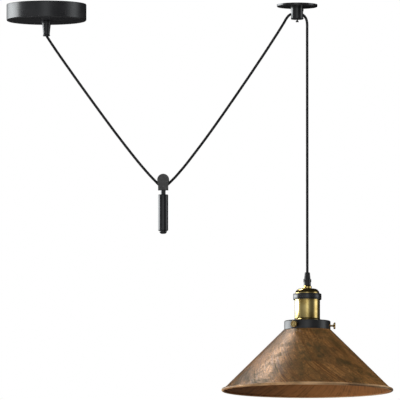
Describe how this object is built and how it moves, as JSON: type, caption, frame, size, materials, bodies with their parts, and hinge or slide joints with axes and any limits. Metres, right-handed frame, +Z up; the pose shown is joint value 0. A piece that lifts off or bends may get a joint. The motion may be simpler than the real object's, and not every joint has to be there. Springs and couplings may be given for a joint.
{
  "type": "rise and fall pendant lamp",
  "caption": "Ceiling pendant whose cord runs from a canopy under a weighted travelling pulley and over a ceiling pulley to a brass lampholder with a conical shade.",
  "frame": {"origin": "centre of the canopy on the ceiling plane, midway between the strap's two slots", "axes": "+Z up, square to the ceiling; +X from the canopy towards the ceiling pulley"},
  "size_m": [0.6189, 0.2748, 0.6215],
  "materials": {
    "satin_black": "satin black paint",
    "gloss_black": "glossy black paint",
    "matt_grey": "matt dark grey powder coat",
    "black_plastic": "moulded black plastic",
    "black_bakelite": "polished black phenolic",
    "braided_cord": "tight black braid",
    "zinc_steel": "zinc-plated steel",
    "aged_brass": "aged polished brass",
    "ceramic": "glazed ceramic",
    "terminal_plastic": "moulded polyamide",
    "aged_copper": "brushed aged copper over steel"
  },
  "bodies": {
    "ceiling": {"canopy_bracket": "zinc_steel", "canopy_cup": "satin_black", "canopy_screws": "gloss_black", "terminal_block": "terminal_plastic", "terminal_screws": "zinc_steel", "earth_screw": "aged_brass", "canopy_cord_grip": "black_plastic", "grip_locknut": "zinc_steel", "cord_tail": "braided_cord", "canopy_span": "braided_cord", "pulley_plate": "gloss_black", "plate_screw": "zinc_steel", "pulley_housing": "gloss_black", "ceiling_axle": "zinc_steel", "axle_lock_screw": "gloss_black", "pulley_span": "braided_cord", "lamp_drop": "braided_cord"},
    "ceiling_wheel": {"ceiling_sheave": "zinc_steel"},
    "weight": {"pulley_head": "matt_grey", "travelling_axle": "zinc_steel", "cord_bight": "braided_cord", "neck_stud": "gloss_black", "counterweight": "gloss_black", "weight_cap": "gloss_black"},
    "travelling_wheel": {"travelling_sheave": "zinc_steel"},
    "lamp": {"lamp_cord_grip": "black_plastic", "grip_side_screw": "black_plastic", "entry_nipple": "aged_brass", "nipple_locknut": "zinc_steel", "cord_end": "braided_cord", "holder_dome": "aged_brass", "clamp_ring": "black_bakelite", "holder_body": "aged_brass", "socket_insert": "ceramic", "screw_shell": "aged_brass", "centre_contact": "aged_brass", "socket_screws": "aged_brass", "shade_gallery": "satin_black", "gallery_ring_nut": "black_bakelite", "shade": "aged_copper"},
    "thumb_1": {"thumb_screw_1": "aged_brass"},
    "thumb_2": {"thumb_screw_2": "aged_brass"},
    "thumb_3": {"thumb_screw_3": "aged_brass"}
  },
  "joints": [
    {"name": "lamp_rise", "type": "slide", "parent": "ceiling", "child": "lamp", "axis": [0, 0, 1], "range_m": [-0.12, 0.3], "deforming": ["lamp_drop"]},
    {"name": "weight_travel", "type": "slide", "parent": "ceiling", "child": "weight", "axis": [0, 0, 1], "range_m": [-0.181, 0.073], "deforming": ["canopy_span", "pulley_span"]},
    {"name": "ceiling_wheel_spin", "type": "hinge", "parent": "ceiling", "child": "ceiling_wheel", "pos_m": [0.4015, 0, -0.0186], "axis": [0, 1, 0], "continuous": true},
    {"name": "travelling_wheel_spin", "type": "hinge", "parent": "weight", "child": "travelling_wheel", "pos_m": [0.187, 0, -0.2848], "axis": [0, 1, 0], "continuous": true},
    {"name": "thumb_screw_1_travel", "type": "slide", "parent": "lamp", "child": "thumb_1", "axis": [1, 0, 0], "range_m": [0, 0.0035]},
    {"name": "thumb_screw_2_travel", "type": "slide", "parent": "lamp", "child": "thumb_2", "axis": [-0.5, 0.866, 0], "range_m": [0, 0.0035]},
    {"name": "thumb_screw_3_travel", "type": "slide", "parent": "lamp", "child": "thumb_3", "axis": [-0.5, -0.866, 0], "range_m": [0, 0.0035]}
  ],
  "couplings": [
    {"joint": "weight_travel", "follows": "lamp_rise", "ratio": -0.6},
    {"joint": "ceiling_wheel_spin", "follows": "lamp_rise", "rad_per_m": -208},
    {"joint": "travelling_wheel_spin", "follows": "lamp_rise", "rad_per_m": 59.5}
  ]
}
